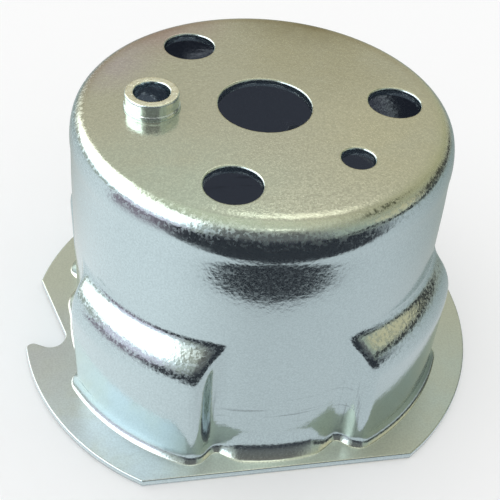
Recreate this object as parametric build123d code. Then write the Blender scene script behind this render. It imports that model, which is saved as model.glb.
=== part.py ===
from build123d import *
import math
import os

# Recoil-starter cup of a small engine: one deep-drawn, zinc-plated steel pressing, with a hollow
# locating bush pressed into its end plate.
# Frame: millimetres. Z is the cup's axis, with the end plate at the top. The origin is the centre
# of the open mouth, level with the flange's underside. X runs along the flange's two flats, and
# the rope notch is on the -X side.

# ---- sheet and overall size
SHEET = 1.6                  # thickness of the steel
HEIGHT = 57.5                # flange's underside to the end plate's outer face
PLATE_RADIUS = 36.0          # the wall's outer radius, carried up to the end plate's outer face
WALL_DRAFT = 2.0             # degrees; the wall opens towards the flange
PLATE_BEND = 4.0             # outer radius of the bend between end plate and wall
FOOT_BEND = 2.0              # radius of the bend between wall and flange, on the outside

# ---- pawl pockets, pushed outwards from the lower half of the wall
POCKETS = 4
FIRST_POCKET = 45.0          # degrees from +X to the middle of the first pocket
POCKET_RADIUS = 42.35        # the pocket face's outer radius, carried down to the flange's underside
POCKET_DRAFT = 1.0           # degrees
SIDE_ROOT = (37.5, 25.5)     # radius and half angle where a pocket's side leaves the wall
SIDE_FACE = (42.0, 22.3)     # radius and half angle where the side meets the pocket's face
SHOULDER_HEIGHT = 30.7       # where the 45 degree shoulder leaves the wall
SHOULDER_BEND = 8.0          # outer radius from shoulder to pocket face
SIDE_BEND = 2.5              # outer radius round the pocket's two ends
ROOT_BEND = 3.5              # outer radius between the pocket and the wall

# ---- flange
RIM_RADIUS = 49.9
FLAT_DISTANCE = 42.1         # axis to each flat
LEAD_RADIUS = 48.6           # the rim is lower between the notch and the rear flat
RIM_ROLL = 0.3               # die roll along the flange's upper edge

# ---- rope notch: a round seat between a long flank and a short hook
SEAT_CENTRE = (-44.1, -3.7)
SEAT_RADIUS = 3.0
FLANK_HEADING = 107.5        # degrees, from the seat outwards
HOOK_HEADING = 152.2
HOOK_TIP = 1.4               # radius of the hook's rounded tip
TRIM_CORNER = 0.6            # radius where the trimmed edges meet

# ---- holes through the end plate: distance from the axis, angle in degrees, diameter
CENTRE_HOLE = (0.0, 0.0, 17.5)
BOLT_HOLES = [(24.9, angle, 10.0) for angle in (-2.0, 118.2, 248.0)]
TIMING_HOLE = (22.15, -52.5, 6.0)
HOLE_ROLL = 0.35             # die roll round the holes, on the outside

# ---- locating bush: a shank pressed into a hole of its own, and a thinner barrel above it
BUSH = (20.9, 178.0, 10.4)   # place and shank diameter, as for a hole
BUSH_BARREL = 10.0
BUSH_BORE = 6.7
BUSH_PROUD = 3.2             # how far the barrel's end stands above the end plate
BUSH_SHOULDER = 0.8          # how far the shank stands above the end plate
BUSH_EDGE = 0.25             # radius of its broken upper edges

# ---- construction
OVERCUT = 5.0                # how far a cutting solid runs past the surface it opens
CORE_RADIUS = 21.6           # the filled pockets start here, inside the cup's hollow
SIDE_RUN = (25.0, 15.0)      # how far a pocket side's line runs inwards and outwards from its root
TOUCH = 0.01                 # two places nearer than this are the same
ALONG = (0.05, 0.5, 0.95)    # where an edge is sampled, as shares of its length


def polar(radius, degrees):
    """The plan position at this distance and angle from the axis."""
    return Vector(radius * math.cos(math.radians(degrees)), radius * math.sin(math.radians(degrees)))


def reach(point):
    """Distance of a point from the cup's axis."""
    return math.hypot(point.X, point.Y)


def spacing(point, place):
    """Distance between two points in plan."""
    return math.hypot(point.X - place.X, point.Y - place.Y)


def wall_radius(z, inset):
    """Radius of the drafted wall at a height, inset from its outer surface."""
    return PLATE_RADIUS + (HEIGHT - z) * math.tan(math.radians(WALL_DRAFT)) - inset


def plain_cup(inset):
    """The end plate and the drafted wall as a filled solid, from the mouth up."""
    top = HEIGHT - inset
    outline = Polyline((0, 0), (wall_radius(0, inset), 0), (wall_radius(top, inset), top), (0, top),
                       close=True)
    form = revolve(Plane.XZ * make_face(outline), Axis.Z, 360)
    rim = form.edges().group_by(Axis.Z)[-1]
    return fillet(rim, PLATE_BEND - inset)


def pocket(inset):
    """One pocket centred on +X, as a filled sector: drafted face, 45 degree shoulder, two sides."""
    slope = math.tan(math.radians(POCKET_DRAFT))
    foot = POCKET_RADIUS - inset
    # on the shoulder, radius and height add up to one value
    shoulder = wall_radius(SHOULDER_HEIGHT, 0) + SHOULDER_HEIGHT - inset * math.sqrt(2)
    brow_height = (shoulder - foot) / (1 - slope)
    outline = FilletPolyline((CORE_RADIUS, 0), (foot, 0), (shoulder - brow_height, brow_height),
                             (CORE_RADIUS, shoulder - CORE_RADIUS), close=True,
                             radius=[0, 0, SHOULDER_BEND - inset, 0])
    ring = revolve(Plane.XZ * make_face(outline), Axis.Z, 360)
    root = polar(*SIDE_ROOT)
    along = (polar(*SIDE_FACE) - root).normalized()
    inwards = Vector(along.Y, -along.X) * inset
    near = root - along * SIDE_RUN[0] + inwards
    far = root + along * SIDE_RUN[1] + inwards
    plan = Polyline((near.X, near.Y), (far.X, far.Y), (far.X, -far.Y), (near.X, -near.Y), close=True)
    block = ring & extrude(make_face(plan), HEIGHT)
    ends = ShapeList()
    for face in block.faces().filter_by(GeomType.PLANE):
        if abs(face.normal_at().Z) < TOUCH:
            ends += [e for e in face.edges()
                     if (e @ 0.5).Z > TOUCH and reach(e @ 0.5) > CORE_RADIUS + TOUCH]
    return fillet(ends, SIDE_BEND - inset)


def drawn_form(inset):
    """Everything the punch draws, as one filled solid, inset from the outer surface."""
    form = plain_cup(inset)
    block = pocket(inset)
    for count in range(POCKETS):
        form += Rot(0, 0, FIRST_POCKET + count * 360 / POCKETS) * block
    roots = ShapeList()
    for edge in form.edges():
        on_wall = all(abs(reach(edge @ t) - wall_radius((edge @ t).Z, inset)) < TOUCH for t in ALONG)
        if on_wall and TOUCH < (edge @ 0.5).Z < SHOULDER_HEIGHT + ROOT_BEND:
            roots.append(edge)
    return fillet(roots, ROOT_BEND + inset)


def notch_plan():
    """The rope notch in plan: two straight sides that leave the round seat, and run past the rim."""
    half = math.radians(HOOK_HEADING - FLANK_HEADING) / 2
    apex = Vector(*SEAT_CENTRE) - polar(SEAT_RADIUS / math.sin(half), (HOOK_HEADING + FLANK_HEADING) / 2)
    flank = apex + polar(RIM_RADIUS, FLANK_HEADING)
    hook = apex + polar(RIM_RADIUS, HOOK_HEADING)
    plan = make_face(Polyline((apex.X, apex.Y), (flank.X, flank.Y), (hook.X, hook.Y), close=True))
    return fillet(min(plan.vertices(), key=lambda v: spacing(v, apex)), SEAT_RADIUS)


def flange_plan():
    """The flange in plan, before the cup's mouth is opened."""
    plan = Circle(RIM_RADIUS) & Rectangle(3 * RIM_RADIUS, 2 * FLAT_DISTANCE)
    lead_side = Pos(-RIM_RADIUS, RIM_RADIUS) * Rectangle(2 * RIM_RADIUS, 2 * RIM_RADIUS)
    plan -= lead_side - Circle(LEAD_RADIUS)
    plan -= notch_plan()
    # of the sharp corners on the rim, the hook's tip is the nearest to the notch's seat
    seat = Vector(*SEAT_CENTRE)
    corners = [v for v in plan.vertices() if reach(v) > LEAD_RADIUS - TOUCH]
    corners.sort(key=lambda v: spacing(v, seat))
    plan = fillet(corners[1:], TRIM_CORNER)
    tip = min(plan.vertices(), key=lambda v: spacing(v, corners[0]))
    return fillet(tip, HOOK_TIP)


def level_loop(solid, z, limit):
    """The edges lying at one height and nearer the axis than a limit."""
    level = ShapeList()
    for edge in solid.edges():
        if all(abs((edge @ t).Z - z) < TOUCH and reach(edge @ t) < limit for t in ALONG):
            level.append(edge)
    return level


def hole_cutter(hole):
    """A round cutter through the end plate."""
    radius, angle, diameter = hole
    place = polar(radius, angle)
    return Pos(place.X, place.Y, HEIGHT - SHEET / 2) * Cylinder(diameter / 2, SHEET + 2 * OVERCUT)


def starter_cup():
    """The pressing: drawn, trimmed and pierced."""
    flange = extrude(flange_plan(), SHEET)
    flange = fillet(flange.edges().group_by(Axis.Z)[-1], RIM_ROLL)
    body = drawn_form(0) + flange
    body = fillet(level_loop(body, SHEET, POCKET_RADIUS), FOOT_BEND)
    body -= drawn_form(SHEET)
    body = fillet(level_loop(body, 0, POCKET_RADIUS - SHEET / 2), FOOT_BEND + SHEET)
    pierced = [CENTRE_HOLE, TIMING_HOLE] + BOLT_HOLES
    for hole in pierced + [BUSH]:
        body -= hole_cutter(hole)
    rolled = ShapeList()
    for edge in level_loop(body, HEIGHT, PLATE_RADIUS).filter_by(GeomType.CIRCLE):
        if any(spacing(edge.arc_center, polar(*hole[:2])) < TOUCH
               and abs(edge.radius - hole[2] / 2) < TOUCH for hole in pierced):
            rolled.append(edge)
    return fillet(rolled, HOLE_ROLL)


def locating_bush():
    """The hollow bush, flush with the end plate's inner face and proud of its outer face."""
    place = polar(BUSH[0], BUSH[1])
    upwards = (Align.CENTER, Align.CENTER, Align.MIN)
    shank = Cylinder(BUSH[2] / 2, SHEET + BUSH_SHOULDER, align=upwards)
    barrel = Cylinder(BUSH_BARREL / 2, SHEET + BUSH_PROUD, align=upwards)
    bore = Cylinder(BUSH_BORE / 2, 2 * (SHEET + BUSH_PROUD))
    bush = shank + barrel - bore
    bush = fillet(bush.edges().group_by(Axis.Z)[-1], BUSH_EDGE)
    return Pos(place.X, place.Y, HEIGHT - SHEET) * bush


NODES = {"starter_cup": starter_cup, "locating_bush": locating_bush}

os.makedirs("parts", exist_ok=True)
for name, build in NODES.items():
    export_step(build(), f"parts/{name}.step")
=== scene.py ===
import bpy
import math
import numpy as np
from mathutils import Matrix, Vector
from mathutils.geometry import delaunay_2d_cdt


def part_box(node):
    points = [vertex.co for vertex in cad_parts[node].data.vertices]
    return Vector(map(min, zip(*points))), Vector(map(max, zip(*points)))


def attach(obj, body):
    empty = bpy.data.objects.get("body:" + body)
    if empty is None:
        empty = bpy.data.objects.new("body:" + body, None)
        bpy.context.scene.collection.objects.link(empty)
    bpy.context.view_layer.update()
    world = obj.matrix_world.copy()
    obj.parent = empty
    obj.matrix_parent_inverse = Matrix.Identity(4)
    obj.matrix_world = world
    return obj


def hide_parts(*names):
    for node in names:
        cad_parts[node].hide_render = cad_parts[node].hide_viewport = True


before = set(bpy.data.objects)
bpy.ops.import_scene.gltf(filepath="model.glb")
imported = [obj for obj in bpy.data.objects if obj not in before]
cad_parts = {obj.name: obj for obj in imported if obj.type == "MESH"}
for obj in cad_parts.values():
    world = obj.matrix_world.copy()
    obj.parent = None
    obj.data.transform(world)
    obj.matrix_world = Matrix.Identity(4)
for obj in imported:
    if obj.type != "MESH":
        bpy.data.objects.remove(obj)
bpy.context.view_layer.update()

MM = 0.001                   # the shapes below are worked out in millimetres

# ---- camera, in the part's own frame
CAMERA_PLACE = Vector((-29.26, -129.42, 143.46))
CAMERA_HEADING = 12.55       # degrees from +Y towards +X
CAMERA_DIP = 42.85
CAMERA_ROLL = 5.04
LENS, SENSOR = 60.35, 36.0   # millimetres
CLIP = (0.01, 20.0)          # metres

# ---- the pressing, as part.py draws it
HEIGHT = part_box("starter_cup")[1][2] / MM
SHEET = 1.6
PLATE_RADIUS = 36.0
WALL_SLOPE = math.tan(math.radians(2.0))
POCKETS = 4
POCKET_PITCH = 360 / POCKETS
FIRST_POCKET = 45.0          # degrees, the middle of the first
POCKET_RADIUS = 42.35
POCKET_SLOPE = math.tan(math.radians(1.0))
SIDE_ROOT = (37.5, 25.5)     # radius and half angle where a pocket's side leaves the wall
SIDE_FACE = (42.0, 22.3)     # the same where it meets the pocket's face
SHOULDER_HEIGHT = 30.7       # where a pocket's sloping roof leaves the wall
SHOULDER_BLEND = 2.7         # how far each pair of surfaces melts into the next: roof and face
END_BLEND = 1.8              # side and front
ROOT_BLEND = 2.1             # side and wall
BROW_BLEND = 0.9             # roof and wall
RIM_RADIUS = 49.9
FLAT_DISTANCE = 42.1
LEAD_RADIUS = 48.6           # the rim's smaller radius, between the rope notch and the rear flat
RIM_ROLL = 0.3
SEAT_CENTRE = (-44.1, -3.7)  # the rope notch: its round seat, and which way its two sides run
SEAT_RADIUS = 3.0
FLANK_HEADING = 107.5
HOOK_HEADING = 152.2
HOOK_TIP = 1.4
TRIM_CORNER = 0.6
# each hole's distance from the axis, azimuth and diameter
HOLES = [(0.0, 0.0, 17.5), (22.15, -52.5, 6.0)] + [(24.9, a, 10.0) for a in (-2.0, 118.2, 248.0)]
HOLE_ROLL = 0.4              # the radius of a hole's upper edge
BUSH = (20.9, 178.0, 10.4)   # the hole that the bush is pressed into
PRESS_ROLL = 0.08            # and its edge
BUSH_BARREL = 10.0
BUSH_BORE = 6.7
BUSH_PROUD = 3.2
BUSH_SHOULDER = 0.8
TEAR, TEAR_DEPTH, EDGE_TEAR = 0.035, 0.06, 0.012    # how rough the cut left the bush's end

# ---- bends in section, from level to upright, as arcs: radius, lean at its end in degrees, steps
PLATE_ARCS = [(18.0, 85.0, 4), (3.6, 16.0, 15), (12.0, 3.2, 7)]     # from the plate down to the wall
FOOT_ARCS = [(1.2, 50.0, 6), (7.0, 21.0, 13), (8.5, 2.5, 6)]        # from the flange up to the wall
POCKET_FOOT = 0.45           # the foot bend's size under a pocket, as a share of the full one
POCKET_FOOT_BAND = (26, 35)  # degrees from a pocket's middle, over which it grows to the full one
SEAT_FOOT = 0.7              # the same by the rope notch
SEAT_FOOT_BAND = (6, 14)
INNER_BEND = 2.4             # inside, the bends are plain arcs: under the plate
INNER_END = 1.5
MOUTH_BEND = 3.0             # and at the mouth
# ---- the wall in section: steepest extra lean, and between which depths under the plate
NECK_LEAN, NECK_SPAN = 0.088, (5.5, 7.3)
CROWN_LEAN, CROWN_SPAN = 0.030, (6.9, 16.4)

# ---- mesh fineness
COLUMN_STEP = 1.1            # degrees round the axis
FINE_STEP = 0.5              # the same, at the pockets' sides
FINE_BAND = (16.0, 29.0)     # degrees from a pocket's middle, where the fine step holds
CROWN_ROWS, CROWN_DEPTH = 0.6, 15               # rows of the wall: from the bend down past the crown
WALL_ROWS = 1.5
SHOULDER_ROWS, ABOVE, BELOW = 0.38, 3, 10       # close together at the pockets' shoulders
LOW_ROWS = 1.6
INNER_EASE = 2.0             # rows are this much further apart inside
FACE_STEP = 1.6              # points within the flat faces
LATTICE = 0.866              # the spacing of their rows, as a share of the step
CLEAR = 0.55                 # and how far they stay from the edges
RIM_STEP, RIM_FILLET_STEP = 1.6, 0.12
STRAIGHT = 89.5              # degrees: a corner whose half angle is larger gets no fillet
BUSH_COLUMNS = 144
SUPPORT = 0.15               # a loop this far inside each flat face's edge keeps its shading flat
LIP = 0.25                   # the same at the plate's edge
NICK, RIM_NICK = 0.05, 0.06  # the chamfers of the lower edges, in a hole and on the rim
INNERMOST, OUTERMOST, HALVINGS = 30.0, 46.0, 34     # where the search for the wall starts


def polar(radius, degrees):
    return np.array([radius * math.cos(math.radians(degrees)), radius * math.sin(math.radians(degrees))])


def rise(x, low, high, start=0.0):
    """start up to low, 1 from high on, and smooth between them."""
    t = np.clip((x - low) / (high - low), 0, 1)
    return start + (1 - start) * t * t * (3 - 2 * t)


def swell(x, low, high):
    """A smooth step, centred on 0, whose slope rises to 1 halfway between low and high."""
    t = np.clip((x - low) / (high - low), 0, 1)
    return (high - low) * ((t - np.sin(2 * np.pi * t) / (2 * np.pi)) - 0.5) / 2


def smooth_max(a, b, blend):
    """The larger of two fields, rounded where they are within blend of each other."""
    h = np.maximum(blend - np.abs(a - b), 0) / blend
    return np.maximum(a, b) + h * h * blend / 4


def from_pocket(turn):
    """Degrees from the middle of the nearest pocket, negative before it."""
    return (turn - FIRST_POCKET + POCKET_PITCH / 2) % POCKET_PITCH - POCKET_PITCH / 2


def wall_radius(z):
    """The wall in section: a cone with a faint neck under the plate's bend, and below it a faint crown."""
    depth = HEIGHT - z
    crown = CROWN_LEAN * swell(depth, *CROWN_SPAN)
    neck = -NECK_LEAN * swell(depth, *NECK_SPAN)
    return PLATE_RADIUS + depth * WALL_SLOPE + crown + neck


def cup_field(r, turn, z):
    """Distance outwards from the drawn surface, at a radius, an angle in degrees and a height."""
    local = np.radians(np.abs(from_pocket(turn)))
    x, y = r * np.cos(local), r * np.sin(local)
    wall = r - wall_radius(z)
    face = r - (POCKET_RADIUS - z * POCKET_SLOPE)
    brow = PLATE_RADIUS + (HEIGHT - SHOULDER_HEIGHT) * WALL_SLOPE + SHOULDER_HEIGHT
    shoulder = (r + z - brow) / math.sqrt(2)
    front = smooth_max(face, shoulder, SHOULDER_BLEND)
    root, corner = polar(*SIDE_ROOT), polar(*SIDE_FACE)
    along = (corner - root) / np.linalg.norm(corner - root)
    side = (x - root[0]) * -along[1] + (y - root[1]) * along[0]
    pocket = smooth_max(front, side, END_BLEND)
    share = np.clip((side - front) / 2 + 0.5, 0, 1)      # 0 at the roof, 1 at the side
    blend = BROW_BLEND + (ROOT_BLEND - BROW_BLEND) * share
    return -smooth_max(-wall, -pocket, blend)


def section(z, inset, turns):
    """The drawn surface's radius at each height and angle, inset from the outside."""
    zz, tt = np.meshgrid(z, turns, indexing="ij")
    low, high = np.full(zz.shape, INNERMOST), np.full(zz.shape, OUTERMOST)
    for _ in range(HALVINGS):
        middle = (low + high) / 2
        outside = cup_field(middle, tt, zz) > -inset
        high = np.where(outside, middle, high)
        low = np.where(outside, low, middle)
    return (low + high) / 2


def columns():
    """The angles of the mesh's columns, closer together at the pockets' sides."""
    turns, turn = [], 0.0
    while turn < 360:
        turns.append(turn)
        away = abs(from_pocket(turn))
        turn += FINE_STEP if FINE_BAND[0] < away < FINE_BAND[1] else COLUMN_STEP
    return np.array(turns)


class Shape:
    """Vertices and faces gathered piece by piece, in millimetres."""

    def __init__(self):
        self.points, self.faces = [], []

    def loop(self, xyz):
        """Adds a closed row of points and returns their numbers."""
        first = len(self.points)
        self.points += [tuple(p) for p in xyz]
        return list(range(first, len(self.points)))

    def bridge(self, lower, upper):
        """Quads between two rows of equal length; they face right with the rows running anticlockwise."""
        count = len(lower)
        for i in range(count):
            j = (i + 1) % count
            self.faces.append((lower[i], lower[j], upper[j], upper[i]))

    def fill(self, outer, holes, z, upwards):
        """A flat face between loops that already exist, with points inside so that it isn't all slivers."""
        step = FACE_STEP
        loops = [outer] + holes
        ids = [i for loop in loops for i in loop]
        flat = [Vector(self.points[i][:2]) for i in ids]
        edges, start = [], 0
        for loop in loops:
            edges += [(start + k, start + (k + 1) % len(loop)) for k in range(len(loop))]
            start += len(loop)
        reach = max(p.length for p in flat)
        rows = int(reach / step / LATTICE) + 1
        known = np.array(flat)
        for row in range(-rows, rows + 1):
            y = row * step * LATTICE
            for k in range(-rows - 1, rows + 2):
                x = (k + (row % 2) / 2) * step
                if np.min(np.hypot(known[:, 0] - x, known[:, 1] - y)) > step * CLEAR:
                    flat.append(Vector((x, y)))
        points, _, triangles, origin = delaunay_2d_cdt(flat, edges, [], 0, 1e-6)[:4]
        edge, *gaps = [np.array([self.points[i][:2] for i in loop]) for loop in loops]
        numbers = [ids[sources[0]] if sources and sources[0] < len(ids) else None for sources in origin]
        for tri in triangles:
            middle = sum((points[k] for k in tri), Vector((0, 0))) / 3
            if not within(edge, middle) or any(within(gap, middle) for gap in gaps):
                continue
            for k in tri:
                if numbers[k] is None:
                    numbers[k] = len(self.points)
                    self.points.append((points[k].x, points[k].y, z))
            a, b, c = (numbers[k] for k in tri)
            side = (points[tri[1]] - points[tri[0]]).cross(points[tri[2]] - points[tri[0]])
            self.faces.append((a, b, c) if (side > 0) == upwards else (a, c, b))

    def build(self, name):
        mesh = bpy.data.meshes.new(name)
        mesh.from_pydata([tuple(c * MM for c in p) for p in self.points], [], self.faces)
        mesh.validate()
        mesh.shade_smooth()
        piece = bpy.data.objects.new(name, mesh)
        bpy.context.scene.collection.objects.link(piece)
        return piece


def within(outline, point):
    """Is a point inside a closed outline?"""
    x, y = outline[:, 0], outline[:, 1]
    nx, ny = np.roll(x, -1), np.roll(y, -1)
    crosses = (y > point.y) != (ny > point.y)
    with np.errstate(divide="ignore", invalid="ignore"):
        at = x + (point.y - y) * (nx - x) / (ny - y)
    return bool(np.sum(crosses & (point.x < at)) % 2)


def outward(outline):
    """Unit normals of an anticlockwise outline."""
    along = np.roll(outline, -1, axis=0) - np.roll(outline, 1, axis=0)
    normal = np.stack([along[:, 1], -along[:, 0]], axis=1)
    return normal / np.linalg.norm(normal, axis=1, keepdims=True)


def at_height(outline, z):
    return np.column_stack([outline, np.full(len(outline), z)])


def circle(centre, radius, count):
    a = np.linspace(0, 2 * np.pi, count, endpoint=False)
    return np.column_stack([centre[0] + radius * np.cos(a), centre[1] + radius * np.sin(a)])


def rounded(corners, step):
    """An outline through corners (x, y, fillet radius), sampled every step or so."""
    out = []
    count = len(corners)
    for i in range(count):
        p = np.array(corners[i][:2])
        before = np.array(corners[i - 1][:2]) - p
        after = np.array(corners[(i + 1) % count][:2]) - p
        u, v = before / np.linalg.norm(before), after / np.linalg.norm(after)
        half = math.acos(max(-1, min(1, float(u @ v)))) / 2
        radius = corners[i][2]
        if radius <= 0 or half > math.radians(STRAIGHT):
            out.append(p)
            continue
        tangent = radius / math.tan(half)
        middle = p + (u + v) / np.linalg.norm(u + v) * radius / math.sin(half)
        start, end = p + u * tangent - middle, p + v * tangent - middle
        sweep = math.pi - 2 * half
        turn = math.copysign(sweep, start[0] * end[1] - start[1] * end[0])
        steps = max(3, int(radius * sweep / step))
        for k in range(steps + 1):
            a = turn * k / steps
            out.append(middle + [start[0] * math.cos(a) - start[1] * math.sin(a),
                                 start[0] * math.sin(a) + start[1] * math.cos(a)])
    return np.array(out)


def divide(outline, step):
    """The same outline with no side longer than step."""
    out = []
    for i, p in enumerate(outline):
        q = outline[(i + 1) % len(outline)]
        parts = max(1, math.ceil(np.linalg.norm(q - p) / step))
        out += [p + (q - p) * k / parts for k in range(parts)]
    return np.array(out)


def on_circle(apex, heading, radius):
    """Where a line from a point meets a circle about the axis, and the angle there."""
    d = polar(1, heading)
    b = float(apex @ d)
    p = apex + d * (-b + math.sqrt(b * b - float(apex @ apex) + radius * radius))
    return p, math.degrees(math.atan2(p[1], p[0])) % 360


def rim_outline():
    """The flange's trimmed edge, anticlockwise from the right."""
    clear = 3.5              # degrees that an arc leaves free for the fillets at its ends
    corner = math.degrees(math.asin(FLAT_DISTANCE / RIM_RADIUS))
    lead = 180 - math.degrees(math.asin(FLAT_DISTANCE / LEAD_RADIUS))
    half = math.radians(HOOK_HEADING - FLANK_HEADING) / 2
    apex = np.array(SEAT_CENTRE) - polar(SEAT_RADIUS / math.sin(half), (HOOK_HEADING + FLANK_HEADING) / 2)
    flank, flank_at = on_circle(apex, FLANK_HEADING, LEAD_RADIUS)
    hook, hook_at = on_circle(apex, HOOK_HEADING, RIM_RADIUS)

    def arc(radius, start, end):
        return [(*polar(radius, a), 0) for a in np.linspace(start + clear, end - clear, int(end - start))]

    corners = arc(RIM_RADIUS, -corner, corner)
    corners.append((*polar(RIM_RADIUS, corner), TRIM_CORNER))
    corners.append((*polar(LEAD_RADIUS, lead), TRIM_CORNER))
    corners += arc(LEAD_RADIUS, lead, flank_at)
    corners += [(*flank, TRIM_CORNER), (*apex, SEAT_RADIUS), (*hook, HOOK_TIP)]
    corners += arc(RIM_RADIUS, hook_at, 180 + corner)
    corners.append((*polar(RIM_RADIUS, 180 + corner), TRIM_CORNER))
    corners.append((*polar(RIM_RADIUS, -corner), TRIM_CORNER))
    return divide(rounded(corners, RIM_FILLET_STEP), RIM_STEP)


def plain_arc(radius, start, end, steps):
    """An arc between two faces in section, one at 0 degrees and one at 90: how far each of its points is
    from the second face, and from the first."""
    return [(radius * (1 - math.sin(a)), radius * (1 - math.cos(a)))
            for a in np.radians(np.linspace(start, end, steps + 1))]


def run_out(arcs):
    """A bend of several arcs in section: how far out and how far down it is, row by row."""
    rows, lean = [(0.0, 0.0)], math.radians(90)
    for bend, end, steps in arcs:
        for a in np.linspace(lean, math.radians(end), steps + 1)[1:]:
            rows.append((rows[-1][0] + bend * (math.cos(a) - math.cos(lean)),
                         rows[-1][1] + bend * (math.sin(a) - math.sin(lean))))
            lean = a
    return rows


def bend_rows():
    """The plate bend in section, from the plate outwards: (radius, height) pairs."""
    rows = run_out(PLATE_ARCS)
    end = wall_radius(HEIGHT + rows[-1][1])
    start = end - rows[-1][0]
    return [(start + r, HEIGHT + z) for r, z in rows]


def heights(top, bottom, step):
    """Even heights from top to bottom, about a step apart."""
    return np.linspace(top, bottom, int((top - bottom) / step) + 1)


def wall_heights(top, bottom, ease):
    """Section heights, close together at the neck and the pockets' shoulders; ease spaces them out."""
    crown, brow, chin = HEIGHT - CROWN_DEPTH, SHOULDER_HEIGHT + ABOVE, SHOULDER_HEIGHT - BELOW
    return np.concatenate([heights(top, crown, CROWN_ROWS * ease)[:-1], heights(crown, brow, WALL_ROWS)[:-1],
                           heights(brow, chin, SHOULDER_ROWS * ease)[:-1], heights(chin, bottom, LOW_ROWS)])


def ring(radius, z, turns):
    """A row round the axis, whose radius may differ from angle to angle."""
    a = np.radians(turns)
    return np.column_stack([radius * np.cos(a), radius * np.sin(a), np.full(len(a), z)])


def foot_rows():
    """The bend into the flange, from the wall down: how far out it is, and how high above the flange."""
    rows = run_out(FOOT_ARCS)
    return [(rows[-1][0] - r, -z) for r, z in reversed(rows)]


def foot_share(turns):
    """How much of the full foot bend there is at each angle."""
    seat = math.degrees(math.atan2(SEAT_CENTRE[1], SEAT_CENTRE[0]))
    from_seat = np.abs((turns - seat + 180) % 360 - 180)
    return (rise(np.abs(from_pocket(turns)), *POCKET_FOOT_BAND, POCKET_FOOT)
            * rise(from_seat, *SEAT_FOOT_BAND, SEAT_FOOT))


def mouth_rows():
    """The same inside, as one plain arc."""
    return [(out, up) for up, out in plain_arc(MOUTH_BEND, 0, 90, 10)]


def add_skin(shape, inset, turns, top_rows, bend):
    """One side of the sheet, from the plate's edge to the flange: returns its first and last loops."""
    outside = inset == 0
    floor = SHEET - inset
    loops = [shape.loop(ring(r, z, turns)) for r, z in top_rows]
    levels = wall_heights(top_rows[-1][1], floor + bend[0][1], 1.0 if outside else INNER_EASE)[1:]
    radii = section(levels, inset, turns)
    for z, row in zip(levels, radii):
        loops.append(shape.loop(ring(row, z, turns)))
    outline = np.array(shape.points)[loops[-1]][:, :2]
    normal = outward(outline)
    share = foot_share(turns)[:, None] if outside else 1.0
    for out, up in bend[1:] + [(bend[-1][0] + SUPPORT, 0.0)]:
        points = at_height(outline + normal * out * share, floor)
        points[:, 2:] += up * share
        loops.append(shape.loop(points))
    for upper, lower in zip(loops, loops[1:]):
        shape.bridge(*((lower, upper) if outside else (upper, lower)))
    return loops[0], loops[-1]


def add_hole(shape, hole, roll, count):
    """A pierced hole: returns the loops that its two flat faces join."""
    centre, radius = polar(hole[0], hole[1]), hole[2] / 2
    rows = [(radius + roll + SUPPORT, HEIGHT)]
    rows += [(radius + back, HEIGHT - down) for back, down in plain_arc(roll, 0, 90, 6)]
    bottom = HEIGHT - SHEET
    rows += [(radius, bottom + NICK), (radius + NICK, bottom), (radius + SUPPORT, bottom)]
    loops = [shape.loop(at_height(circle(centre, r, count), z)) for r, z in rows]
    for outer, inner in zip(loops, loops[1:]):
        shape.bridge(outer, inner)
    return loops[0], loops[-1]


def starter_cup():
    """The pressing as one closed sheet, with the bends, neck and pockets as they were drawn."""
    shape = Shape()
    turns = columns()
    rows = bend_rows()
    lip = [(rows[0][0] - LIP, HEIGHT)]
    outer_top, outer_foot = add_skin(shape, 0, turns, lip + rows, foot_rows())
    under = HEIGHT - SHEET
    inner_wall = wall_radius(under - INNER_BEND) - SHEET
    inner_rows = [(inner_wall - back, under - down)
                  for down, back in plain_arc(INNER_BEND, 90, INNER_END, 11)]
    inner_rows = [(inner_rows[0][0] - SUPPORT, inner_rows[0][1])] + inner_rows
    inner_top, inner_foot = add_skin(shape, SHEET, turns, inner_rows, mouth_rows())

    outer_holes, inner_holes = [], []
    for hole in HOLES + [BUSH]:
        count = 16 * round(hole[2] / FACE_STEP)
        top, bottom = add_hole(shape, hole, HOLE_ROLL if hole != BUSH else PRESS_ROLL, count)
        outer_holes.append(top)
        inner_holes.append(bottom)
    shape.fill(outer_top, outer_holes, HEIGHT, upwards=True)
    shape.fill(inner_top, inner_holes, under, upwards=False)

    rim = rim_outline()
    normal = outward(rim)
    rim_rows = [(-RIM_ROLL - SUPPORT, SHEET)]
    rim_rows += [(-back, SHEET - down) for back, down in plain_arc(RIM_ROLL, 0, 90, 5)]
    rim_rows += [(0, RIM_NICK), (-RIM_NICK, 0.0), (-SUPPORT, 0.0)]
    loops = [shape.loop(at_height(rim + normal * d, z)) for d, z in rim_rows]
    for upper, lower in zip(loops, loops[1:]):
        shape.bridge(lower, upper)
    shape.fill(loops[0], [outer_foot], SHEET, upwards=True)
    shape.fill(loops[-1], [inner_foot], 0.0, upwards=False)
    return shape.build("pressed_cup")


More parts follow.
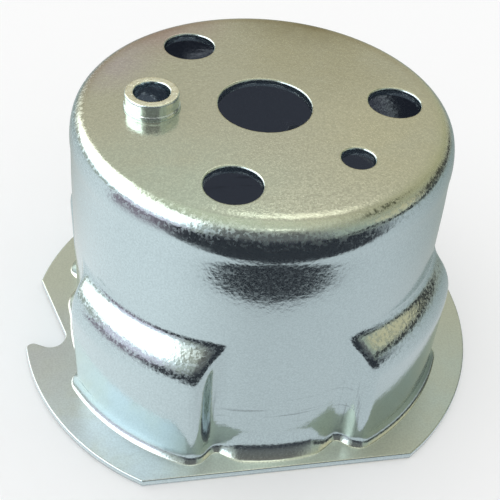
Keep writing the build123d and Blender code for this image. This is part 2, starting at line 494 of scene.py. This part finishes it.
def bush_rows():
    """The bush in section, from its lower bore round the outside to its top and back down the bore."""
    base, top, step = HEIGHT - SHEET, HEIGHT + BUSH_PROUD, HEIGHT + BUSH_SHOULDER
    bore, barrel, shank = BUSH_BORE / 2, BUSH_BARREL / 2, BUSH[2] / 2
    side = [(bore + 0.1, base), (shank - 0.1, base), (shank, base + 0.1), (shank, HEIGHT - 0.05),
            (shank, step - 0.2), (shank - 0.05, step - 0.05), (barrel + 0.03, step), (barrel, step + 0.06),
            (barrel - 0.01, step + 0.3), (barrel, step + 1.2), (barrel, top - 0.45)]
    corner = [(barrel - 0.02, top - 0.25), (barrel - 0.09, top - 0.1)]
    end = [(barrel - 0.22, top - 0.02), (barrel - 0.4, top), (barrel - 0.75, top - 0.01),
           (bore + 0.45, top), (bore + 0.2, top - 0.02)]
    mouth = [(bore + 0.05, top - 0.12)]
    inside = [(bore, top - 0.3), (bore, top - 1.5), (bore, base + 0.1)]
    return side, corner, end, mouth, inside


def locating_bush():
    """The bush, with the torn face that the cut-off left on its end."""
    shape = Shape()
    rng = np.random.default_rng(5)
    centre = polar(*BUSH[:2])
    side, corner, end, mouth, inside = bush_rows()
    # each row with how deep it is torn, as a share of TEAR, and whether it is worn back too
    rows = ([(row, 0, False) for row in side] + [(row, 0.5, True) for row in corner]
            + [(row, 1, k < 2) for k, row in enumerate(end)] + [(row, 0.5, False) for row in mouth]
            + [(row, 0, False) for row in inside])
    loops = []
    for (radius, z), tear, worn in rows:
        points = at_height(circle(centre, radius, BUSH_COLUMNS), z)
        if tear:
            rough = np.tile(rng.normal(0, 1, BUSH_COLUMNS), 3)
            rough = np.convolve(rough, np.ones(3) / 3, "same")[BUSH_COLUMNS:2 * BUSH_COLUMNS]
            points[:, 2] += TEAR * rough * tear - TEAR_DEPTH
            across = (points[:, :2] - centre) / radius
            points[:, :2] += across * (rng.normal(0, EDGE_TEAR, BUSH_COLUMNS) - EDGE_TEAR * worn)[:, None]
        loops.append(shape.loop(points))
    for inner, outer in zip(loops, loops[1:] + loops[:1]):
        shape.bridge(inner, outer)
    return shape.build("pressed_bush")


# ================= looks
class Nodes:
    """A short way to write a node tree: each call adds a node and links what it is given."""

    def __init__(self, tree):
        self.tree = tree

    def add(self, kind, inputs=(), **settings):
        node = self.tree.nodes.new(kind)
        for name, value in settings.items():
            setattr(node, name, value)
        for key, value in (inputs.items() if isinstance(inputs, dict) else enumerate(inputs)):
            if isinstance(value, bpy.types.NodeSocket):
                self.tree.links.new(value, node.inputs[key])
            elif value is not None:
                node.inputs[key].default_value = value
        return node

    def math(self, operation, *values):
        return self.add("ShaderNodeMath", values, operation=operation).outputs[0]

    def times(self, first, *others):
        """The product of two or more values."""
        for other in others:
            first = self.math("MULTIPLY", first, other)
        return first

    def plus(self, total, value, factor):
        """total + value x factor."""
        return self.math("ADD", total, self.times(value, factor))

    def vector(self, operation, *values):
        return self.add("ShaderNodeVectorMath", values, operation=operation).outputs[0]

    def measure(self, operation, *values):
        """A vector operation whose result is one number."""
        return self.add("ShaderNodeVectorMath", values, operation=operation).outputs["Value"]

    def soft(self, value, low, high, start=0.0, end=1.0):
        """start up to low, end from high on, and smooth between them; low may be above high."""
        return self.add("ShaderNodeMapRange", (value, low, high, start, end),
                        interpolation_type="SMOOTHSTEP").outputs[0]

    def band(self, value, low, high, edge):
        """1 between low and high, with soft edges."""
        return self.times(self.soft(value, low - edge / 2, low + edge / 2),
                          self.soft(value, high + edge / 2, high - edge / 2))

    def mix(self, factor, first, second, blend="MIX"):
        """Each colour is a socket or plain (red, green, blue)."""
        first, second = ((*c, 1) if isinstance(c, tuple) else c for c in (first, second))
        inputs = {0: factor, 6: first, 7: second}
        return self.add("ShaderNodeMix", inputs, data_type="RGBA", blend_type=blend).outputs[2]

    def parts(self, vector):
        return self.add("ShaderNodeSeparateXYZ", (vector,)).outputs

    def azimuth(self, vector):
        """Degrees round the axis, from +X."""
        x, y = self.parts(vector)[:2]
        return self.math("DEGREES", self.math("ARCTAN2", y, x))

    def noise(self, place, scale, detail=2.0, rough=0.5, stretch=None, offset=0.0):
        """Cloudy noise from 0 to 1: the higher the scale, the finer."""
        if stretch:
            place = self.vector("MULTIPLY", place, stretch)
        if offset:
            place = self.vector("ADD", place, (offset,) * 3)
        return self.add("ShaderNodeTexNoise", {"Vector": place, "Scale": scale, "Detail": detail,
                                               "Roughness": rough}).outputs[0]


# ---- the studio: soft-edged patches of the sky, each over the ones before it
# middle azimuth and half width, lowest and highest elevation, edge softness (degrees), colour
PATCHES = [
    ("ceiling", 0, 181, 60, 181, 14, (0.78, 0.82, 0.72)),
    ("right", 0, 60, -90, 60, 24, (0.52, 0.54, 0.42)),
    ("side wall", 0, 50, -90, 14, 14, (0.56, 0.58, 0.50)),
    ("beige", -16, 17, 12, 32, 12, (0.80, 0.71, 0.48)),
    ("doorway", 14, 13, 12, 27, 8, (0.07, 0.07, 0.06)),
    ("shelf", 8, 26, 48, 55, 7, (0.10, 0.11, 0.08)),
    ("skirting", -8, 46, 2, 12, 4, (0.05, 0.05, 0.05)),
    ("rear low", 84, 24, -90, 28, 16, (0.46, 0.42, 0.31)),
    ("window", 172, 50, 13, 56, 10, (3.1, 3.2, 3.2)),
    ("lilac", -158, 20, -90, 13, 12, (1.10, 0.98, 1.12)),
    ("front", -93, 31, -90, 53, 16, (0.20, 0.19, 0.18)),
    ("front low", -93, 34, -90, 10, 16, (0.06, 0.06, 0.07)),
    ("lamp", -82, 22, 64, 71, 5, (1.8, 1.8, 1.6)),
    ("rear lamp", 72, 8, 44.5, 48.5, 3, (2.9, 2.95, 2.7)),
]
BACK = (0.64, 0.64, 0.57)
SKYLIGHT = 1.06              # what lights the floor, even all round

# ---- what the metal mirrors below the horizon: a table, lit from the left, and a dark room past it
# pairs are where a change starts and ends: azimuths in degrees, or millimetres from the axis
TABLE_LEFT = (1.05, 1.06, 1.06)
TABLE_MIDDLE = (0.77, 0.77, 0.77)
TABLE_RIGHT = (0.38, 0.42, 0.39)
LEFT_TO_MIDDLE, MIDDLE_TO_RIGHT, RIGHT_TO_LEFT = (-150, -92), (-45, 35), (110, 178)
FAR_LEFT = (0.40, 0.32, 0.37)
FAR_LEFT_TURN, FAR_LEFT_START = (-120, -134), (110, 190)
TABLE_FRONT = (82.0, -91.0, 4.0)        # how far the table reaches, which way that is, its soft edge
DARK_ROOM = (0.035, 0.037, 0.045)
DARK_LEFT, DARK_LEFT_NEAR, NEAR = (-160, -134), (-142, -118), (95, 135)
DARK_RIGHT = (-20, -44)
UNDER_CUP = (0.085, 0.092, 0.110)

PLANE_SIZE = 6
FLOOR_HEIGHT, CARD_HEIGHT = -0.3, -0.1  # millimetres, both just under the cup
FLOOR_COLOUR, FLOOR_ROUGHNESS = (0.92, 0.92, 0.92), 0.9


def metres(*lengths):
    """Lengths in metres, from millimetres."""
    return tuple(length * MM for length in lengths)


def add_world():
    """What the metal mirrors above the horizon; the floor and the camera see an even sky instead."""
    world = bpy.data.worlds.new("studio")
    bpy.context.scene.world = world
    world.cycles.sampling_method = "NONE"
    world.use_nodes = True
    tree = world.node_tree
    tree.nodes.clear()
    n = Nodes(tree)
    direction = n.add("ShaderNodeTexCoord").outputs["Generated"]
    azimuth = n.azimuth(direction)
    elevation = n.math("DEGREES", n.math("ARCSINE", n.parts(direction)[2]))
    colour = BACK
    for _, middle, half, low, high, edge, shade in PATCHES:
        turn = n.math("WRAP", n.math("SUBTRACT", azimuth, middle), 180.0, -180.0)
        across = n.soft(n.math("ABSOLUTE", turn), half + edge / 2, half - edge / 2)
        colour = n.mix(n.times(across, n.band(elevation, low, high, edge)), colour, shade)
    ray = n.add("ShaderNodeLightPath").outputs
    colour = n.mix(ray["Is Diffuse Ray"], colour, (SKYLIGHT, SKYLIGHT, SKYLIGHT))
    colour = n.mix(ray["Is Camera Ray"], colour, (1, 1, 1))
    light = n.add("ShaderNodeBackground", {"Color": colour}).outputs[0]
    n.add("ShaderNodeOutputWorld", {"Surface": light})


def add_plane(name, height):
    """A level square for the stage, with a new material of the same name."""
    bpy.ops.mesh.primitive_plane_add(size=PLANE_SIZE, location=(0, 0, height * MM))
    plane = bpy.context.object
    plane.name = name
    material = bpy.data.materials.new(name)
    material.use_nodes = True
    plane.data.materials.append(material)
    return plane, material.node_tree


def add_floor():
    floor, tree = add_plane("floor", FLOOR_HEIGHT)
    shader = tree.nodes["Principled BSDF"]
    shader.inputs["Base Color"].default_value = (*FLOOR_COLOUR, 1)
    shader.inputs["Roughness"].default_value = FLOOR_ROUGHNESS


def add_card():
    """A glowing studio card just above the floor, which only mirror-like metal sees."""
    card, tree = add_plane("mirror_card", CARD_HEIGHT)
    card.visible_camera = False
    card.visible_diffuse = False
    card.visible_shadow = False
    tree.nodes.clear()
    n = Nodes(tree)
    place = n.add("ShaderNodeTexCoord").outputs["Object"]
    azimuth = n.azimuth(place)
    away = n.measure("LENGTH", place)
    colour = n.mix(n.soft(azimuth, *LEFT_TO_MIDDLE), TABLE_LEFT, TABLE_MIDDLE)
    colour = n.mix(n.soft(azimuth, *MIDDLE_TO_RIGHT), colour, TABLE_RIGHT)
    colour = n.mix(n.soft(azimuth, *RIGHT_TO_LEFT), colour, TABLE_LEFT)
    far_left = n.times(n.soft(azimuth, *FAR_LEFT_TURN), n.soft(away, *metres(*FAR_LEFT_START)))
    colour = n.mix(far_left, colour, FAR_LEFT)
    reach, heading, edge = TABLE_FRONT
    ahead = n.measure("DOT_PRODUCT", place, (*polar(1, heading), 0))
    past = n.soft(ahead, *metres(reach, reach + edge))
    left = n.times(n.soft(azimuth, *DARK_LEFT), n.soft(away, *metres(*NEAR)))
    left = n.math("MAXIMUM", left, n.soft(azimuth, *DARK_LEFT_NEAR))
    colour = n.mix(n.times(past, left, n.soft(azimuth, *DARK_RIGHT)), colour, DARK_ROOM)
    colour = n.mix(n.soft(away, *metres(POCKET_RADIUS, POCKET_RADIUS - 3)), colour, UNDER_CUP)
    light = n.add("ShaderNodeEmission", {"Color": colour}).outputs[0]
    n.add("ShaderNodeOutputMaterial", {"Surface": light})


# ---- zinc plate
WALL_TINT = (0.50, 0.61, 0.64)
PLATE_TINT = (0.58, 0.58, 0.46)
FLANGE_TINT = (0.54, 0.56, 0.47)
INSIDE_SHADE_TINT = (0.34, 0.37, 0.41)      # painted shade: the colour of the faces inside the cup and down the bush's bore, where little light reaches
BUSH_TINT, RING_TINT = (0.64, 0.76, 0.80), (0.88, 0.87, 0.70)
# broad patches laid over the flat faces' colour: colour, place (radius, azimuth, height), reach, strength.
# On the top they shift the tone: greenish at the left front, olive to the right, mauve to the left, darker
# at the back. On the flange they are painted light, as below
TINT_AND_PAINTED_LIGHT_PATCHES = [
    ((0.58, 0.66, 0.56), (40, -125, HEIGHT), 34, 0.9),
    ((0.63, 0.60, 0.42), (26, -25, HEIGHT), 26, 0.6),
    ((0.20, 0.16, 0.06), (42, 66, HEIGHT), 24, 1.0),
    ((0.50, 0.38, 0.38), (41, 120, HEIGHT), 22, 1.0),
    ((0.56, 0.50, 0.53), (36, 150, HEIGHT), 16, 0.8),
    ((0.52, 0.50, 0.34), (22, 50, HEIGHT), 24, 0.6),
    # the flange's four are painted light: lighter in front, a bluish painted reflection at the left front,
    # greyer at the far left, and greener and a little darker at the right front in painted shade
    ((0.57, 0.64, 0.68), (54, -132, 0.0), 42, 1.0),
    ((0.74, 0.79, 0.70), (46, -92, 0.0), 26, 0.9),
    ((0.52, 0.60, 0.57), (50, -35, 0.0), 26, 0.8),
    ((0.50, 0.52, 0.53), (50, -172, 0.0), 22, 0.8),
]
PATCH_CORE = 0.2             # the share of a patch's reach where it is at full strength

# noises: scale, detail, roughness, offset
SPECK = (3000.0, 1.0, 0.5, 0.0)       # single crystals
GRAIN = (1300.0, 1.5, 0.5, 0.0)       # the sheet's grain
BLOTCH = (620.0, 2.0, 0.6, 2.2)       # coarser, where the sheet was stretched
LEATHER = (1000.0, 1.0, 0.5, 3.3)     # on the flange
RIPPLE = (260.0, 2.0, 0.5, 7.7)       # everywhere, very faint
DULL_SPOTS = (1500.0, 1.5, 0.6, 5.1)
CLOUD = (90.0, 3.0, 0.6, 0.0)         # in the patches
ROUND_MARKS, ROUND_STRETCH = (520.0, 2.0, 0.6, 0.0), (0.006, 1, 1)
RUB_MARKS, RUB_STRETCH = (1300.0, 2.0, 0.6, 0.0), (1, 1, 0.045)

# how high each one stands, in millimetres, as the bump sees it; a pair is from and to
GRAIN_HIGH = (0.022, 0.036)           # on the wall, and on a bend
BLOTCH_HIGH = 0.030
SPECK_HIGH, BUSH_SPECK_HIGH = (0.001, 0.008), (0.001, 0.040)      # upright, and level
FLANGE_SPECK = 0.4                    # its share on the flange
LEATHER_HIGH = (0.004, 0.022)
LEATHER_SPOT, LEATHER_REACH = (52, -128), (26, 8)     # the flange is roughest there
RIPPLE_HIGH = 0.020
MARK_DEEP = 0.012

# roughness and metallic
ROUGH = (0.08, 0.16)                  # between crystals
ROUGH_LEVEL, ROUGH_FLANGE = 0.05, 0.16
ROUGH_SPOTS = (0.04, 0.26)            # the dull spots on a bend, at the foot and higher up
ROUGH_CROWN = 0.06
METALLIC, LESS_LEVEL, LESS_FLANGE = 0.985, 0.12, 0.20      # level faces and the flange mirror less


def with_tint_and_painted_light(n, place, colour):
    """The flat faces' colour, with the patches laid over it: tone on the top, painted light on the flange.
    """
    scale, detail, rough, _ = CLOUD
    for number, (tint, (radius, turn, height), reach, share) in enumerate(TINT_AND_PAINTED_LIGHT_PATCHES):
        away = n.measure("DISTANCE", place, metres(*polar(radius, turn), height))
        near = n.soft(away, *metres(reach, reach * PATCH_CORE), 0.0, share)
        cloud = n.soft(n.noise(place, scale, detail, rough, offset=1.7 * number), 0.3, 0.6, 0.55, 1.0)
        colour = n.mix(n.times(near, cloud), colour, tint)
    return colour


def draw_marks(n, place, lean):
    """Faint marks round the lower wall, and rub marks down the pockets' sides: both from 0 to 1."""
    x, y, z = n.parts(place)
    azimuth = n.azimuth(place)
    radius = n.math("SQRT", n.math("ADD", n.times(x, x), n.times(y, y)))
    unrolled = n.add("ShaderNodeCombineXYZ", (n.times(azimuth, 0.010), z, 0.0)).outputs[0]
    scale, detail, rough, _ = ROUND_MARKS
    marks = n.soft(n.noise(unrolled, scale, detail, rough, stretch=ROUND_STRETCH), 0.57, 0.68)
    low_wall = n.times(n.band(z, *metres(4, 17, 3)), n.soft(radius, *metres(39.4, 38.9)))
    scale, detail, rough, _ = RUB_MARKS
    rubs = n.soft(n.noise(place, scale, detail, rough, stretch=RUB_STRETCH), 0.54, 0.70)
    away = n.math("PINGPONG", n.math("SUBTRACT", azimuth, FIRST_POCKET), POCKET_PITCH / 2)
    side = n.times(n.band(away, 21.0, 26.5, 3.0), n.band(z, *metres(4, 18, 6)), n.soft(lean, 0.3, 0.1))
    return n.times(marks, low_wall), n.times(rubs, side)


def zinc(name, bush=False):
    """Bright zinc plate: bluish on the wall, pale olive on the flat faces, with a fine crystal grain."""
    material = bpy.data.materials.new(name)
    material.use_nodes = True
    material.node_tree.nodes.clear()
    n = Nodes(material.node_tree)
    place = n.add("ShaderNodeTexCoord").outputs["Object"]
    x, y, z = n.parts(place)
    normal = n.add("ShaderNodeNewGeometry").outputs["Normal"]

    # where what holds, from 0 to 1; lean is 0 on an upright face and 1 on a level one
    lean = n.math("ABSOLUTE", n.parts(normal)[2])
    flat = n.soft(lean, 0.55, 0.98)
    level = n.soft(lean, 0.93, 0.995)
    bent = n.times(n.soft(lean, 0.08, 0.30), n.soft(lean, 0.995, 0.93))
    flange = n.times(level, n.soft(z, *metres(3, 2)))
    outwards = n.vector("NORMALIZE", n.add("ShaderNodeCombineXYZ", (x, y, 0.0)).outputs[0])
    facing = n.measure("DOT_PRODUCT", outwards, normal)
    # painted shade: faces that look in towards the axis, inside the cup below the plate's underside and down
    # the bush's bore
    inside_shade = n.times(n.soft(facing, 0.2, -0.2), n.band(z, *metres(2.3, HEIGHT - SHEET - 0.3, 0.6)))
    round_marks, rub_marks = draw_marks(n, place, lean)
    marks = n.times(n.math("ADD", round_marks, rub_marks), 0.30)
    speck, grain, blotch, leather, ripple, dull = (
        n.noise(place, scale, detail, rough, offset=offset)
        for scale, detail, rough, offset in (SPECK, GRAIN, BLOTCH, LEATHER, RIPPLE, DULL_SPOTS))

    if bush:
        colour = n.mix(flat, BUSH_TINT, RING_TINT)
    else:
        face = n.mix(n.soft(z, *metres(3, 5)), FLANGE_TINT, PLATE_TINT)
        # the flat faces take the patches: tone on the top, painted light and painted shade on the flange
        colour = n.mix(flat, WALL_TINT, with_tint_and_painted_light(n, place, face))
    # painted shade, darkening the colour inside the cup and down the bore
    colour = n.mix(inside_shade, colour, INSIDE_SHADE_TINT)
    shade = n.math("SUBTRACT", n.soft(speck, 0.3, 0.7, 0.93, 1.06), marks)
    grey = n.add("ShaderNodeCombineColor", (shade, shade, shade)).outputs[0]
    colour = n.mix(1.0, colour, grey, "MULTIPLY")

    stretched = n.times(bent, n.soft(z, *metres(6, 12)))
    height = n.times(grain, n.soft(stretched, 0, 1, *GRAIN_HIGH))
    height = n.plus(height, blotch, n.times(stretched, BLOTCH_HIGH))
    fine = n.soft(level, 0, 1, *(BUSH_SPECK_HIGH if bush else SPECK_HIGH))
    height = n.plus(height, speck, n.times(fine, n.soft(flange, 0, 1, 1.0, FLANGE_SPECK)))
    away = n.measure("DISTANCE", place, metres(*polar(*LEATHER_SPOT), 0.0))
    height = n.plus(height, leather, n.times(flange, n.soft(away, *metres(*LEATHER_REACH), *LEATHER_HIGH)))
    height = n.plus(height, ripple, RIPPLE_HIGH)
    height = n.plus(height, marks, -MARK_DEEP)
    bump = n.add("ShaderNodeBump", {"Strength": 1.0, "Distance": MM, "Height": height}).outputs[0]

    rough = n.plus(n.soft(speck, 0.3, 0.7, *ROUGH), level, ROUGH_LEVEL)
    rough = n.plus(rough, n.math("ADD", flange, marks), ROUGH_FLANGE)
    worn = n.times(bent, n.soft(z, *metres(5, 36), *ROUGH_SPOTS))
    worn = n.plus(worn, n.band(z, *metres(HEIGHT - 16, HEIGHT - 8, 2)), ROUGH_CROWN)
    rough = n.plus(rough, n.soft(dull, 0.46, 0.62), worn)
    metal = n.plus(n.plus(METALLIC, level, -LESS_LEVEL), flange, -LESS_FLANGE)
    shader = n.add("ShaderNodeBsdfPrincipled", {"Base Color": colour, "Metallic": metal,
                                                "Roughness": rough, "Normal": bump}).outputs[0]
    n.add("ShaderNodeOutputMaterial", {"Surface": shader})
    return material


def add_camera():
    data = bpy.data.cameras.new("camera")
    data.lens = LENS
    data.sensor_width = SENSOR
    data.clip_start, data.clip_end = CLIP
    camera = bpy.data.objects.new("camera", data)
    turn = (Matrix.Rotation(math.radians(-CAMERA_HEADING), 4, "Z")
            @ Matrix.Rotation(math.radians(90 - CAMERA_DIP), 4, "X")
            @ Matrix.Rotation(math.radians(CAMERA_ROLL), 4, "Z"))
    camera.matrix_world = Matrix.Translation(CAMERA_PLACE * MM) @ turn
    bpy.context.scene.collection.objects.link(camera)
    bpy.context.scene.camera = camera


add_camera()
add_world()
add_floor()
add_card()
bpy.context.scene.view_settings.view_transform = "Standard"

for build, node, slot in ((starter_cup, "starter_cup", "zinc_plated_steel"),
                          (locating_bush, "locating_bush", "zinc_plated_bush")):
    piece = build()
    piece.data.materials.append(zinc(node + "_zinc", bush=node == "locating_bush"))
    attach(piece, "root")
    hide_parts(node)
